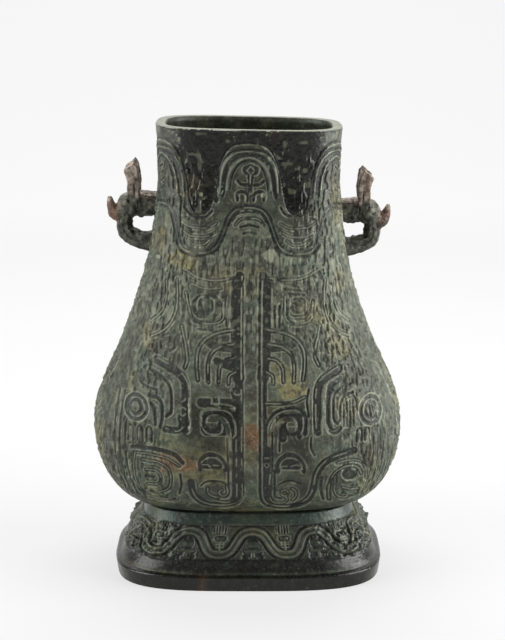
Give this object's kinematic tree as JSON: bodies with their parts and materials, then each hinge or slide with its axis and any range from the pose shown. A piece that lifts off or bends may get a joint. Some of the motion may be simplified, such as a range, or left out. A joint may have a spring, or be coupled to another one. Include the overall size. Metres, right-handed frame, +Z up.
{
  "type": "bronze hu wine vessel",
  "caption": "Tall rectangular bronze wine jar with rounded corners, flared foot ring, relief bands and two animal-head loop handles.",
  "frame": {"origin": "on the table under the middle of the foot", "axes": "+Z up the vessel, +X towards the handle on the right of the front view, the front faces -Y"},
  "size_m": [0.343, 0.267, 0.5021],
  "materials": {
    "patinated_bronze": "dark grey-green to brown-black archaeological patina, semi-matt, with green and rust-red patches"
  },
  "bodies": {
    "root": {"hu_vessel": "patinated_bronze"}
  },
  "joints": []
}
